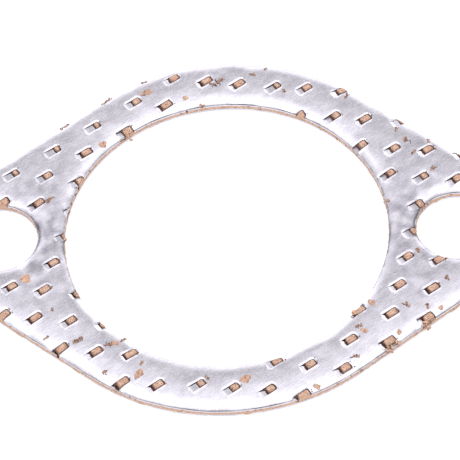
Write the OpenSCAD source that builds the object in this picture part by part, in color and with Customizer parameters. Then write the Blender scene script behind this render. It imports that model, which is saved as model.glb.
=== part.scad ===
// Two-bolt exhaust flange gasket, lying flat.
// A fibre core is clinched between two perforated tinplate facings. The tangs cut out of each
// facing are pressed into the core, and the fibre swells up into the openings that they leave.
// The origin is the centre of the gas bore, on the face that rests on the flange.
// X runs through the two bolt holes and Z points out of the blanked face.

/* [Outline] */
// Diameter of the gas bore
bore_d = 42.4; // [36:0.2:52]
// Width of the metal between the bore and the round outer edge
ring_w = 6.7; // [5.6:0.1:8]
// Width of the metal between the bore and each bolt hole
bridge_w = 3.4; // [3.3:0.1:6]
// Diameter of each bolt hole
bolt_hole_d = 10.8; // [8.4:0.2:13]
// Width of the metal round the far side of each bolt hole
ear_w = 4.1; // [3.4:0.1:6]

/* [Layers] */
// Thickness of each tinplate facing
facing_t = 0.3; // [0.2:0.05:0.4]
// Thickness of the fibre core
core_t = 1.2; // [1:0.1:1.6]

/* [Rolled edges] */
// Width of the band along every cut edge that the blanking tool rolls down
roll_w = 1.6; // [0.8:0.1:1.6]
// Slope of the facing where it is sheared off, in degrees
roll_slope = 26; // [10:1:30]

/* [Perforations] */
// Distance between the perforations of a row
pitch = 6.58; // [6:0.02:8]
// Distance between rows
row_gap = 3.04; // [2.8:0.02:4]
// Angle of the rows to the line through the bolt holes, in degrees
row_angle = 35.7; // [0:0.1:60]
// Place along X of the perforation in the first row that the columns are counted from
first_x = -7.3; // [-10:0.1:10]
// Distance of that perforation from the top of the round outer edge
first_in = 2.7; // [1:0.1:6]
// Number of rows that one stroke of the perforating tool makes
stroke_rows = 14; // [6:1:20]
// Slip along the rows from one stroke of the tool to the next
stroke_slip = 0.6; // [0:0.1:1.2]
// Length of an opening along its row
slot_l = 2.3; // [2:0.1:2.6]
// Width of an opening
slot_w = 1.2; // [1:0.05:1.4]
// Radius of the corners of an opening
slot_r = 0.3; // [0.1:0.05:0.45]
// Width of the rim that the piercing tool draws down round an opening
rim_w = 0.35; // [0.2:0.05:0.4]
// Depth of that rim at the opening
rim_drop = 0.1; // [0.05:0.01:0.15]

/* [Tangs] */
// Width of a tang
tang_w = 0.9; // [0.6:0.05:0.95]
// Radius inside the bend of a tang
bend_r = 0.2; // [0.1:0.05:0.3]
// What the bend and the shearing cut take off the straight length of a tang
tang_trim = 0.45; // [0.35:0.05:0.6]
// Gap between the tip of a tang and the opposite facing
tip_gap = 0.1; // [0.05:0.05:0.3]
// Gap between a tang and the fibre round it
tang_gap = 0.05; // [0.03:0.01:0.08]

/* [Fibre] */
// Length of the fibre that swells into an opening
plug_l = 1.35; // [1:0.05:1.5]
// Gap between that fibre and the edge of the opening
plug_gap = 0.06; // [0.04:0.01:0.1]
// Depth of the swollen fibre below the face of the tinplate
plug_recess = 0.08; // [0.05:0.01:0.2]

/* [Hidden] */
$fn = 96;

bore_r = bore_d / 2;
body_r = bore_r + ring_w;
hole_r = bolt_hole_d / 2;
ear_r = hole_r + ear_w;
// Distance of a bolt hole from the middle of the bore
ear_x = bore_r + bridge_w + hole_r;
total_t = core_t + 2 * facing_t;

// The straight flanks touch the body and the ears at this angle from X
flank_angle = acos((body_r - ear_r) / ear_x);
flank_l = sqrt(pow(ear_x, 2) - pow(body_r - ear_r, 2));

// A rolled edge is an arc of this radius that starts flat and ends at the sheared edge
roll_r = roll_w / sin(roll_slope);
// The flanks lie this far inside the true tangents, so that they cross the arcs cleanly
flank_set = 0.02;
flank_in = ear_r - flank_set;
// How far a cutting solid runs past the surface that it cuts
past = 0.4;

// A tang leaves the sheet in a bend, and on the flat its tip goes down this far to its gap
tang_l = slot_l - tang_trim;
tang_depth = total_t - facing_t - tip_gap;
bend_steps = 2;
// Depth to which a tang is rooted in its sheet
root = 0.15;
// Metal left between a whole tang and the nearest cut edge
tang_margin = 0.35;

plug_start = slot_l - plug_gap - plug_l;
pocket_w = tang_w + 2 * tang_gap;
first_y = body_r - first_in;

// Rows and columns that reach past the ears from the first perforation
reach = ear_x + ear_r + norm([first_x, first_y]);
row_count = ceil(reach / row_gap);
column_count = ceil(reach / pitch);

// Distance of a point inside the outer edge: the body, an ear or the flank between them
function outer_gap(p) =
    let (q = [abs(p.x), abs(p.y)],
         along = q.y * cos(flank_angle) - q.x * sin(flank_angle))
    along > 0 ? body_r - norm(q)
    : along < -flank_l ? ear_r - norm([q.x - ear_x, q.y])
    : body_r - (q.x * cos(flank_angle) + q.y * sin(flank_angle));

// Distance of a point from the nearest cut edge of any kind, below zero in the open
function edge_gap(p) = min(outer_gap(p), norm(p) - bore_r, norm([abs(p.x) - ear_x, p.y]) - hole_r);

// Drop of the rolled surface at that distance from the edge
function roll_drop(gap) =
    let (run = max(roll_w - max(gap, 0), 0))
    roll_r - sqrt(pow(roll_r, 2) - pow(run, 2));

// Turns a length along the rows and a length across them into a place in the part
function along_rows(s, v) =
    [s * cos(row_angle) - v * sin(row_angle), s * sin(row_angle) + v * cos(row_angle)];

// Middle of the opening in one row and column, with every second row half a pitch on
function site(row, column) =
    let (half = (row % 2 == 0 ? 0 : 0.5), slip = stroke_slip * floor(row / stroke_rows))
    [first_x, first_y] + along_rows((column + half) * pitch + slip, -row * row_gap);

// Hinge line of that opening's tang, and every hinge whose opening meets the metal
function hinges(shift) = [
    for (row = [0 : row_count], column = [-column_count : column_count])
        let (middle = site(row, column) + along_rows(shift, 0))
        if (edge_gap(middle) > -slot_l / 4) middle - along_rows(slot_l / 2, 0)];

upper_hinges = hinges(0);
// The lower sheet is the same sheet turned over, half a pitch on, so no two tangs meet
lower_hinges = hinges(pitch / 2);

// Angle at which the tip of a tang goes down to a depth, and how far it then reaches along the row
function tang_angle(depth) =
    asin((depth - bend_r - facing_t) / norm([tang_l, bend_r])) + atan(bend_r / tang_l);
function tang_reach(depth) =
    let (angle = tang_angle(depth)) (bend_r + facing_t) * sin(angle) + tang_l * cos(angle);

// Distance of the tip of a tang from the nearest cut edge, at whichever of its corners is nearer
function tip_edge_gap(hinge) = min([for (side = [-1, 1])
    edge_gap(hinge + along_rows(tang_reach(tang_depth), side * tang_w / 2))]);

function holds_tang(hinge) = min(edge_gap(hinge), tip_edge_gap(hinge)) > tang_margin;

// Every whole tang as its hinge, the drop of its sheet there and its angle, which is less where
// the rolled edge brings the facings together
upper_tangs = [for (hinge = upper_hinges) if (holds_tang(hinge))
    let (drop = roll_drop(edge_gap(hinge))) [hinge, drop, tang_angle(tang_depth - drop)]];
lower_tangs = [for (hinge = lower_hinges) if (holds_tang(hinge))
    [hinge, 0, tang_angle(tang_depth - roll_drop(tip_edge_gap(hinge)))]];

// Whether an opening and its rim lie wholly inside the rolled edges
function lies_flat(hinge) =
    min([for (s = [0, slot_l + rim_w], side = [-1, 1])
        edge_gap(hinge + along_rows(s, side * (slot_w / 2 + rim_w)))]) > roll_w;

// Outline of the blank in plan
module blank() {
    difference() {
        union() {
            circle(body_r);
            for (side = [0, 180]) rotate(side) {
                translate([ear_x, 0]) circle(ear_r);
                for (turn = [0, 1]) mirror([0, turn]) rotate(flank_angle)
                    translate([body_r - flank_set - flank_in, -flank_l]) square([flank_in, flank_l]);
            }
        }
        circle(bore_r);
        for (side = [-1, 1]) translate([side * ear_x, 0]) circle(hole_r);
    }
}

// Section of what the rolled edge takes off: x runs outwards to the edge at zero, then on by a margin
module edge_relief(top, margin) {
    difference() {
        translate([-roll_w, top - roll_w]) square([roll_w + margin + past, roll_w + past]);
        translate([-roll_w, top - roll_r]) circle(roll_r);
    }
}

// Section of what is cut out at a hole, up to its rolled edge
module hole_section(r, top, foot, margin) {
    translate([0, foot - past]) square([r - margin, top - foot]);
    difference() {
        translate([0, top - roll_w]) square([r + roll_w, roll_w + past]);
        translate([r + roll_w, top - roll_r]) circle(roll_r);
    }
}

module rolled_hole(r, top, foot, margin) {
    rotate_extrude() hole_section(r, top, foot, margin);
}

// A round piece with a rolled edge
module rolled_disc(r, top, foot, margin) {
    rotate_extrude() difference() {
        translate([0, foot]) square([r + margin, top - foot]);
        translate([r, 0]) edge_relief(top, margin);
    }
}

// A straight flank with a rolled edge, reaching in as far as both discs are flat
module rolled_flank(top, foot, margin) {
    rotate([0, 0, flank_angle]) translate([body_r - flank_set, 0, 0]) rotate([90, 0, 0])
        linear_extrude(flank_l) difference() {
            translate([-flank_in, foot]) square([flank_in + margin, top - foot]);
            edge_relief(top, margin);
        }
}

// The whole gasket from a foot up to a rolled top, with a margin beyond every cut edge
module rolled_blank(top, foot, margin = 0) {
    difference() {
        union() {
            rolled_disc(body_r, top, foot, margin);
            for (side = [0, 180]) rotate([0, 0, side]) {
                translate([ear_x, 0, 0]) rolled_disc(ear_r, top, foot, margin);
                rolled_flank(top, foot, margin);
                mirror([0, 1, 0]) rolled_flank(top, foot, margin);
            }
        }
        rolled_hole(bore_r, top, foot, margin);
        for (side = [-1, 1]) translate([side * ear_x, 0, 0]) rolled_hole(hole_r, top, foot, margin);
    }
}

// Puts children at a hinge, with x along the row, at a height
module at_hinge(hinge, height) {
    translate([hinge.x, hinge.y, height]) rotate([0, 0, row_angle]) children();
}

// Stands a side view on edge across the row, centred on it
module across_row(width) {
    rotate([90, 0, 0]) translate([0, 0, -width / 2]) linear_extrude(width) children();
}

// Plan of one opening, from its hinge line to its rounded far end
module slot_plan() {
    translate([0, -slot_w / 2]) square([slot_l - slot_r, slot_w]);
    translate([0, slot_r - slot_w / 2]) square([slot_l, slot_w - 2 * slot_r]);
    for (side = [-1, 1]) translate([slot_l - slot_r, side * (slot_w / 2 - slot_r)]) circle(slot_r);
}

// All the openings of a sheet, cut through from one height to another
module slots(places, low, high) {
    translate([0, 0, low]) linear_extrude(high - low)
        for (hinge = places) translate(hinge) rotate(row_angle) slot_plan();
}

// Section of a drawn rim along the row, from the hinge line out to its far end
module rim_along() {
    polygon([[0, -rim_drop], [slot_l, -rim_drop], [slot_l + rim_w, 0], [slot_l + rim_w, past], [0, past]]);
}

// Section of a drawn rim across the row
module rim_across() {
    half = slot_w / 2;
    polygon([[-half, -rim_drop], [half, -rim_drop], [half + rim_w, 0], [half + rim_w, past],
        [-half - rim_w, past], [-half - rim_w, 0]]);
}

// Hollow with sloping sides and end that the piercing tool leaves round every opening on the flat
module rims(places, height) {
    for (hinge = places) if (lies_flat(hinge)) at_hinge(hinge, height) intersection() {
        across_row(slot_w + 2 * rim_w) rim_along();
        rotate([90, 0, 90]) linear_extrude(slot_l + rim_w) rim_across();
    }
}

// One side of a tang in side view, from its bend to its tip, below a sheet whose face is at zero
function tang_line(r, angle) =
    let (centre = [0, -bend_r - facing_t])
    [for (step = [0 : bend_steps + 1])
        let (a = angle * min(step / bend_steps, 1), run = (step > bend_steps ? tang_l : 0))
            centre + r * [sin(a), cos(a)] + run * [cos(a), -sin(a)]];

// The same line from its tip back to its bend
function reversed(line) = [for (i = [len(line) - 1 : -1 : 0]) line[i]];

// Side view of a tang, rooted by a wedge in the thickness of its sheet
module tang_side(angle) {
    over = tang_line(bend_r + facing_t, angle);
    polygon(concat([[-root, -facing_t / 2]], over, reversed(tang_line(bend_r, angle))));
}

// Side view of the pocket that it tears in the fibre, open above it as far as the swollen fibre
module pocket_side(angle) {
    under = tang_line(bend_r - tang_gap, angle);
    over = tang_line(bend_r + facing_t + tang_gap, angle);
    tip = over[bend_steps + 1];
    bend = over[bend_steps];
    share = (plug_start - bend.x) / (tip.x - bend.x);
    polygon(concat([[0, past]], under, [tip, bend + share * (tip - bend), [plug_start, past]]));
}

// The tangs of a sheet whose flat face is at one height, and the pockets that they tear
module tangs(places, height) {
    for (tang = places) at_hinge(tang[0], height - tang[1]) across_row(tang_w) tang_side(tang[2]);
}

module pockets(places, height) {
    for (tang = places) at_hinge(tang[0], height - tang[1]) across_row(pocket_w) pocket_side(tang[2]);
}

// Plan of the fibre that swells into the far part of one opening, with its far corners cut
module plug_plan() {
    far = slot_l - plug_gap;
    side = slot_w / 2 - plug_gap;
    polygon([[plug_start, -side], [far - slot_r, -side], [far, slot_r - side],
        [far, side - slot_r], [far - slot_r, side], [plug_start, side]]);
}

module plugs(places, low, high) {
    translate([0, 0, low]) linear_extrude(high - low)
        for (hinge = places) translate(hinge) rotate(row_angle) plug_plan();
}

module upper_facing() {
    color([0.79, 0.79, 0.82]) {
        difference() {
            rolled_blank(total_t, 0);
            rolled_blank(total_t - facing_t, -past, past / 2);
            slots(upper_hinges, 0, total_t + past);
            rims(upper_hinges, total_t);
        }
        tangs(upper_tangs, total_t);
    }
}

module fibre_core() {
    color([0.80, 0.64, 0.54]) difference() {
        union() {
            rolled_blank(total_t - facing_t, facing_t);
            intersection() {
                rolled_blank(total_t - plug_recess, plug_recess);
                union() {
                    plugs(upper_hinges, total_t / 2, total_t);
                    plugs(lower_hinges, 0, total_t / 2);
                }
            }
        }
        pockets(upper_tangs, total_t);
        mirror([0, 0, 1]) pockets(lower_tangs, 0);
    }
}

module lower_facing() {
    color([0.74, 0.74, 0.78]) {
        difference() {
            linear_extrude(facing_t) blank();
            slots(lower_hinges, -past, facing_t + past);
            mirror([0, 0, 1]) rims(lower_hinges, 0);
        }
        mirror([0, 0, 1]) tangs(lower_tangs, 0);
    }
}

upper_facing();
fibre_core();
lower_facing();
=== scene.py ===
import math

import bmesh
import bpy
import numpy as np
from mathutils import Matrix, Vector, geometry


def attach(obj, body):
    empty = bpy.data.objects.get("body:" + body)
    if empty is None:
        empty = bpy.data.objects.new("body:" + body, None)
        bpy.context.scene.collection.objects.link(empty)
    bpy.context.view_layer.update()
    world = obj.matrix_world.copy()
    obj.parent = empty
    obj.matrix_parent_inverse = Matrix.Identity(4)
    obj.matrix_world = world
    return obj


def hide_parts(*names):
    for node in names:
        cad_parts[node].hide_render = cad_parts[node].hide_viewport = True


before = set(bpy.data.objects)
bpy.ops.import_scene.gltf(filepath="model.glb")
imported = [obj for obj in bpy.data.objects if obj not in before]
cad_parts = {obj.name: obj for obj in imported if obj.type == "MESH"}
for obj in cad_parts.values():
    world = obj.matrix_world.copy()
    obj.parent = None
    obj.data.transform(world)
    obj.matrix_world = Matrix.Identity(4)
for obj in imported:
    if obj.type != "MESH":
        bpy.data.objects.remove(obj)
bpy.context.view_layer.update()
mm = 0.001

# ---- the gasket's plan, in millimetres, as in the CAD source ----

blank = dict(
    boreRadius=21.2,
    bodyRadius=27.9,
    earX=30.0,
    earRadius=9.5,
    holeRadius=5.4,
    face=1.74,  # a little below the CAD face, so that the swollen fibre can stand proud of it
    top=1.8,
    sheet=0.3,
)
rows = dict(
    pitch=6.58,
    gap=3.04,
    angle=math.radians(35.7),
    firstX=-7.3,
    firstY=25.2,
    strokeRows=14,
    strokeSlip=0.6,
    length=2.3,
    width=1.2,
    corner=0.3,
)
along = np.array([math.cos(rows["angle"]), math.sin(rows["angle"])])  # along a row
across = np.array([-along[1], along[0]])
flankAngle = math.acos((blank["bodyRadius"] - blank["earRadius"]) / blank["earX"])
flankLength = math.sqrt(blank["earX"] ** 2 - (blank["bodyRadius"] - blank["earRadius"]) ** 2)


def edgeGap(p):
    # distance of points inside the nearest cut edge, below zero in the open: the round body, an
    # ear or the flank that touches both, less the bore and the two bolt holes
    x, y = abs(p[..., 0]), abs(p[..., 1])
    run = y * math.cos(flankAngle) - x * math.sin(flankAngle)
    body = blank["bodyRadius"] - np.hypot(x, y)
    ear = blank["earRadius"] - np.hypot(x - blank["earX"], y)
    flank = blank["bodyRadius"] - x * math.cos(flankAngle) - y * math.sin(flankAngle)
    outer = np.where(run > 0, body, np.where(run < -flankLength, ear, flank))
    bore = np.hypot(x, y) - blank["boreRadius"]
    hole = np.hypot(x - blank["earX"], y) - blank["holeRadius"]
    return np.minimum(outer, np.minimum(bore, hole))


def outwards(p):
    # direction in plan towards the nearest cut edge: minus the slope of the gap, by small steps
    h = 0.01
    dx = edgeGap(p + [h, 0]) - edgeGap(p - [h, 0])
    dy = edgeGap(p + [0, h]) - edgeGap(p - [0, h])
    g = -np.stack([dx, dy], -1)
    return g / np.maximum(np.linalg.norm(g, axis=-1, keepdims=True), 1e-9)


def circleLoop(centre, radius, step):
    # points at equal angles round a circle
    n = max(12, int(round(2 * math.pi * radius / step)))
    t = 2 * math.pi * np.arange(n) / n
    return np.stack([centre + radius * np.cos(t), radius * np.sin(t)], -1)


def outerLoop(inset, step):
    # right ear, body, left ear and body again, each an arc swept by the angle of its normal,
    # with the straight flanks between their ends
    f, pi = flankAngle, math.pi
    ear, body, x = blank["earRadius"], blank["bodyRadius"], blank["earX"]
    arcs = ((x, ear, -f, f), (0, body, f, pi - f), (-x, ear, pi - f, pi + f), (0, body, pi + f, 2 * pi - f))
    parts = []
    for centre, radius, start, end in arcs:
        t = np.linspace(start, end, max(8, int((end - start) * radius / step)))
        parts.append(np.stack([centre + (radius - inset) * np.cos(t), (radius - inset) * np.sin(t)], -1))
    joined = []
    for k, part in enumerate(parts):
        after = parts[(k + 1) % 4][0]
        w = np.linspace(0, 1, max(4, int(np.linalg.norm(after - part[-1]) / step)))[1:-1, None]
        joined += [part, part[-1] * (1 - w) + after * w]
    return np.concatenate(joined)


def cutLoops(inset, step):
    # the outline, the bore and the bolt holes, moved into the metal by an inset
    b = blank
    return [
        outerLoop(inset, step),
        circleLoop(0, b["boreRadius"] + inset, step),
        circleLoop(b["earX"], b["holeRadius"] + inset, step),
        circleLoop(-b["earX"], b["holeRadius"] + inset, step),
    ]


def ripple(p, seed, size, count=24):
    # smooth noise of about unit height: a sum of sines in random directions, whose lengths are
    # spread about one size
    rng = np.random.default_rng(seed)
    d = rng.normal(size=(p.shape[-1], count))
    d /= np.linalg.norm(d, axis=0)
    k = 2 * math.pi / (size * rng.uniform(0.6, 1.7, count))
    return np.sin(p @ (d * k) + rng.uniform(0, 2 * math.pi, count)).sum(-1) / math.sqrt(count / 2) / 1.6


# ---- the openings ----

opening = dict(
    tangWidth=1.06,
    gaps=(0.17, 0.1),  # torn gap between the tip of a tang and the fibre, short tangs and long ones
    tips=(0.08, 0.0),  # how far those tips hook down
    bend=(0.42, 0.65),  # slope at which a tang leaves its hinge, and the length in which it eases
    rim=0.19,  # width of the drawn rim
    rimDrop=0.1,
    rimPower=1.15,
    burr=0.048,  # height and width of the burr that stands up on the near side
    burrWidth=0.14,
    hingeDrop=0.03,  # how far the rim has dropped at the hinge, where the metal isn't cut
    short=0.6,  # where the fibre begins for the shortest tangs and for the long ones
    long=1.25,
    fill=(0.45, 0.95),  # where the fibre begins in an opening that isn't listed below
    seed=41,
)
# The openings that face the camera: row, column, where the fibre begins, and how far along and
# across its row the piercing tool set each one off its place
seenOpenings = (
    (0, -4, 1.46, 0.22, -0.03), (0, -3, 1.54, 0.16, -0.12), (0, -2, 1.5, 0.05, -0.04),
    (0, -1, 1.14, 0.1, 0.03), (0, 0, 0.9, -0.06, 0.27), (1, -4, 1.1, 0.25, 0.02),
    (1, -3, 0.82, 0.05, 0.07), (1, -2, 0.86, -0.1, -0.14), (1, -1, 0.74, -0.11, 0.19),
    (1, 0, 0.74, -0.11, 0.19), (2, -4, 0.94, 0.25, 0.02), (2, -3, 0.98, 0.06, -0.15),
    (2, 1, 0.78, -0.21, 0.17), (3, -4, 0.95, 0.3, -0.33), (3, 1, 1.5, -0.05, -0.18),
    (4, -4, 1.0, 0.17, -0.34), (4, 2, 1.06, -0.16, 0.12), (5, -6, 0.98, -0.15, 0.01),
    (5, -5, 0.86, -0.24, -0.12), (5, 1, 0.7, -0.21, 0.05), (5, 2, 0.9, 0.05, -0.04),
    (6, -5, 0.78, -0.29, 0.03), (6, 2, 1.22, 0, 0), (7, -6, 0.7, -0.3, 0.13),
    (7, -5, 0.55, -0.01, 0.11), (7, 2, 0.74, -0.31, 0.14), (8, -5, 0.94, -0.33, -0.04),
    (8, 2, 1.2, -0.05, 0.04), (8, 3, 1.1, 0.1, 0.13), (9, -6, 0.62, -0.21, 0.26),
    (9, -5, 0.7, -0.15, 0.1), (9, 2, 1.1, -0.31, -0.08), (10, -5, 0.74, -0.34, 0.07), (10, 2, 1.22, 0, 0),
    (10, 3, 0.82, -0.16, 0.12), (11, -5, 0.54, -0.25, 0.19), (11, 2, 1.34, -0.2, -0.05),
    (12, -5, 0.62, -0.26, 0.29), (12, 2, 1.3, 0.05, -0.14), (12, 3, 1.1, -0.12, 0.06),
    (13, -5, 0.78, -0.3, 0.23), (13, 1, 1.22, 0.15, -0.12), (14, -4, 1.34, -0.06, 0.14),
    (14, 1, 1.06, -0.25, -0.01), (15, -4, 1.14, -0.24, 0.09), (15, -3, 0.9, -0.11, 0.18),
    (15, -1, 0.75, -0.2, 0.16), (15, 0, 0.86, -0.4, 0.11), (15, 1, 0.74, -0.45, 0.25),
    (16, -3, 1.06, -0.01, 0.2), (16, -2, 0.86, -0.3, 0.13), (16, -1, 0.74, -0.49, 0.09),
    (16, 0, 0.7, -0.5, 0.19), (16, 1, 0.66, -0.55, 0.12), (17, -3, 0.6, -0.19, 0.05),
    (17, -2, 0.86, -0.39, 0.11), (17, -1, 0.62, 0, 0), (17, 0, 0.82, -0.49, -0.01),
)
closed = ((4, -5), (12, -4), (14, -3), (15, -2))  # cut across and rolled shut


def openingPlan(shift, seed, seen):
    # every opening of a sheet: rows a gap apart, every second one half a pitch on, with a slip at
    # each stroke of the perforating tool, kept where it meets the metal; and what differs from
    # one to the next
    r, o = rows, opening
    row, column = (a.ravel() for a in np.meshgrid(np.arange(0, 26), np.arange(-14, 15), indexing="ij"))
    run = (column + 0.5 * (row % 2)) * r["pitch"] + r["strokeSlip"] * (row // r["strokeRows"]) + shift
    middle = np.array([r["firstX"], r["firstY"]]) + run[:, None] * along - (row * r["gap"])[:, None] * across
    keep = edgeGap(middle) > -r["length"] / 4
    if seen:
        keep &= ~np.isin(row * 100 + column, [a * 100 + b for a, b in closed])
    row, column, middle = row[keep], column[keep], middle[keep]
    rng = np.random.default_rng(o["seed"] + seed)
    n = len(middle)
    fill = rng.uniform(*o["fill"], n)
    if seen:
        for r0, c0, start, on, over in seenOpenings:
            here = (row == r0) & (column == c0)
            fill[here] = start
            middle[here] += on * along + over * across
    return dict(
        hinge=middle - along * r["length"] / 2,
        fill=fill,
        reach=fill - np.interp(fill, (o["short"], o["long"]), o["gaps"]),
        tip=np.interp(fill, (o["short"], o["long"]), o["tips"]) + rng.uniform(-0.03, 0.06, n),
        crown=rng.uniform(0.0, 0.05, n),
        tilt=rng.uniform(-0.08, 0.08, (n, 2)),
        shoulderShade=rng.uniform(0.25, 0.6, n),  # painted shade: how dark the shoulders of the fibre are painted, for the shade at the edge of each fill
    )


upper = openingPlan(0, 0, True)
lower = openingPlan(rows["pitch"] / 2, 1, False)
print("openings", len(upper["hinge"]), len(lower["hinge"]))


def slotDistance(s, v):
    # distance outside a rounded rectangle that starts at the hinge line, below zero inside
    r = rows
    qx = abs(s - r["length"] / 2) - (r["length"] / 2 - r["corner"])
    qy = abs(v) - (r["width"] / 2 - r["corner"])
    return np.hypot(np.maximum(qx, 0), np.maximum(qy, 0)) + np.minimum(np.maximum(qx, qy), 0) - r["corner"]


def nearestOpening(p, plan):
    # place along and across the row from the nearest opening's hinge, distance and its number
    d = p[:, None, :] - plan["hinge"][None]
    s, v = d @ along, d @ across
    gap = slotDistance(s, v)
    k = gap.argmin(1)
    pick = np.arange(len(p)), k
    return s[pick], v[pick], gap[pick], k


def inPlan(hinges, s, v):
    # places along and across the row from every hinge, as points in plan
    s, v = np.broadcast_to(s, (len(hinges),) + np.shape(v)[-1:]), np.broadcast_to(v, (len(hinges),) + np.shape(v)[-1:])
    return hinges[:, None] + s[..., None] * along + v[..., None] * across


def slotLoops(plan):
    # outline of the void round each tang: out along one side, round the far end, back along the
    # other side, and round the tang
    r, w, half = rows, opening["tangWidth"] / 2, rows["width"] / 2
    c = r["length"] - r["corner"]
    sides = np.linspace(0, c, 9)
    t = np.linspace(0, math.pi / 2, 6)[1:]
    side = np.stack([sides, np.full(9, -half)], -1)
    arc = np.stack([c + r["corner"] * np.sin(t), r["corner"] - half - r["corner"] * np.cos(t)], -1)
    over = [1, -1]
    outside = np.concatenate([side, arc, [[r["length"], 0.0]], (arc * over)[::-1], (side * over)[::-1]])
    left = np.stack([np.linspace(0, 1, 6), np.full(6, w)], -1)
    tip = np.array([[1, 0.25], [1, 0.0], [1, -0.25]])
    tang = np.concatenate([left, tip, (left * over)[::-1]])
    n = len(plan["hinge"])
    inside = np.repeat(tang[None], n, 0)
    inside[..., 0] *= plan["reach"][:, None]
    both = np.concatenate([np.repeat(outside[None], n, 0), inside], 1)
    return list(inPlan(plan["hinge"], both[..., 0], both[..., 1]))


def ringPoints(plan, gap, count=26):
    # a ring of points at one distance round each opening
    r = rows
    t = 2 * math.pi * np.arange(count) / count
    dx, dy = np.cos(t), np.sin(t)
    a, b = r["length"] / 2 - r["corner"], r["width"] / 2 - r["corner"]
    k = r["corner"] + gap
    x = r["length"] / 2 + a * np.clip(dx * 1.6, -1, 1) + k * dx
    y = b * np.clip(dy * 1.6, -1, 1) + k * dy
    return inPlan(plan["hinge"], x, y).reshape(-1, 2)


def tangPoints(plan):
    # points down each tang and across its bend
    s, v = (a.ravel() for a in np.meshgrid(np.linspace(-0.3, 0.0, 4), np.linspace(-0.36, 0.36, 5)))
    bend = inPlan(plan["hinge"], s, v).reshape(-1, 2)
    share, v = (a.ravel() for a in np.meshgrid(np.linspace(0.12, 0.94, 7), np.linspace(-0.3, 0.3, 4)))
    tang = inPlan(plan["hinge"], plan["reach"][:, None] * share, v).reshape(-1, 2)
    return np.concatenate([bend, tang])


def onTang(s, v, k, plan, slack=1e-4):
    return (s > -slack) & (s < plan["reach"][k] + slack) & (abs(v) < opening["tangWidth"] / 2 + slack)


def triangulate(loops, free):
    # a plan cut along closed loops, through free points as well
    chains = loops + [free]
    starts = np.cumsum([0] + [len(c) for c in chains])
    turn = [np.arange(len(c)) for c in loops]
    edges = [np.stack([t, np.roll(t, -1)], -1) + start for t, start in zip(turn, starts)]
    points = np.concatenate(chains)
    net = geometry.delaunay_2d_cdt(points.tolist(), np.concatenate(edges).tolist(), [], 0, 1e-5, False)
    return np.array([tuple(p) for p in net[0]]), np.array(net[2])


def cullNear(points, gap):
    # drops free points that crowd one another: one is kept in each square of a fine net
    cell = np.round(points / gap).astype(int)
    first = np.unique(cell, axis=0, return_index=True)[1]
    return points[np.sort(first)]


def compact(points, triangles):
    ids, back = np.unique(triangles, return_inverse=True)
    return points[ids], back.reshape(triangles.shape)


def finished(name, points, faces, marks=None, sharp=38):
    # a mesh in metres, with one mark a vertex for its finish
    mesh = bpy.data.meshes.new(name)
    mesh.from_pydata((points * mm).tolist(), [], faces)
    if marks is not None:
        for title, values in marks.items():
            layer = mesh.attributes.new(title, "FLOAT", "POINT")
            layer.data.foreach_set("value", np.asarray(values, dtype=np.float32))
    mesh.shade_smooth()
    mesh.set_sharp_from_angle(angle=math.radians(sharp))
    piece = bpy.data.objects.new(name, mesh)
    bpy.context.scene.collection.objects.link(piece)
    print(name, len(mesh.vertices), "vertices", len(mesh.polygons), "faces")
    return piece


def shell(name, top, bottom, triangles, wall, marks):
    # two sheets of the same triangles, joined by walls of a few levels along every open border;
    # each mark has its values on the top sheet and one for each level of the walls
    n = len(top)
    e = np.concatenate([triangles[:, [0, 1]], triangles[:, [1, 2]], triangles[:, [2, 0]]])
    _, back, count = np.unique(np.sort(e, 1), axis=0, return_inverse=True, return_counts=True)
    border = e[count[back.ravel()] == 1]
    ids = np.unique(border)
    m = len(ids)
    place = np.full(n, -1)
    place[ids] = np.arange(m)
    levels = wall(bottom[ids], top[ids])
    rings = [ids + n] + [2 * n + k * m + np.arange(m) for k in range(len(levels))] + [ids]
    a, b = place[border[:, 0]], place[border[:, 1]]
    quads = [np.stack([low[a], low[b], high[b], high[a]], -1) for low, high in zip(rings[:-1], rings[1:])]
    points = np.concatenate([top, bottom] + levels)
    faces = np.concatenate([triangles, triangles[:, ::-1] + n]).tolist() + np.concatenate(quads).tolist()
    marks = {k: np.concatenate([face, np.zeros(n), np.repeat(side, m)]) for k, (face, side) in marks.items()}
    return finished(name, points, faces, marks)


# ---- the tinplate facing ----

facing = dict(
    crown=0.030,  # curve of the gently crowned margin, per millimetre
    crownWidth=3.6,
    rollWidth=1.5,
    rollRadius=4.6,
    cornerDrop=0.035,
    cornerWidth=0.12,
    holeDrop=0.13,
    holeWidth=0.5,
    wave=0.010,
    dent=0.004,
    burr=0.2,  # how much thicker the sheet is drawn at a cut edge
    grid=0.6,
    # height in the thickness and darkness of the levels of a sheared edge; the darkness is partly the bare steel's own
    # colour and partly a painted shadow line under the face
    shear=((0.5, 0.05), (0.62, 1.0), (0.95, 1.0)),
)


def holeDrop(p):
    # the steeper roll at the sides of the two bolt holes: a parabola of the distance from the hole,
    # times the square of the sine of the angle from the Y axis
    side = abs(p[..., 0]) - blank["earX"]
    reach = np.hypot(side, p[..., 1])
    share = np.clip(1 - (reach - blank["holeRadius"]) / facing["holeWidth"], 0, 1)
    return facing["holeDrop"] * share**2 * (side / reach) ** 2


def edgeDrop(gap, wander=0.0):
    # fall of the face towards a cut edge: a wide shallow parabola, then an arc, and last the
    # rounding of the sheared corner
    g = np.maximum(gap, 0)
    corner = facing["cornerDrop"] * np.maximum(1 - g / facing["cornerWidth"], 0) ** 2
    crown = facing["crown"] / 2 * np.maximum(facing["crownWidth"] * (1 + wander) - g, 0) ** 2
    run = np.maximum(facing["rollWidth"] - g, 0)
    return corner + crown + facing["rollRadius"] - np.sqrt(facing["rollRadius"] ** 2 - run**2)


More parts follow.
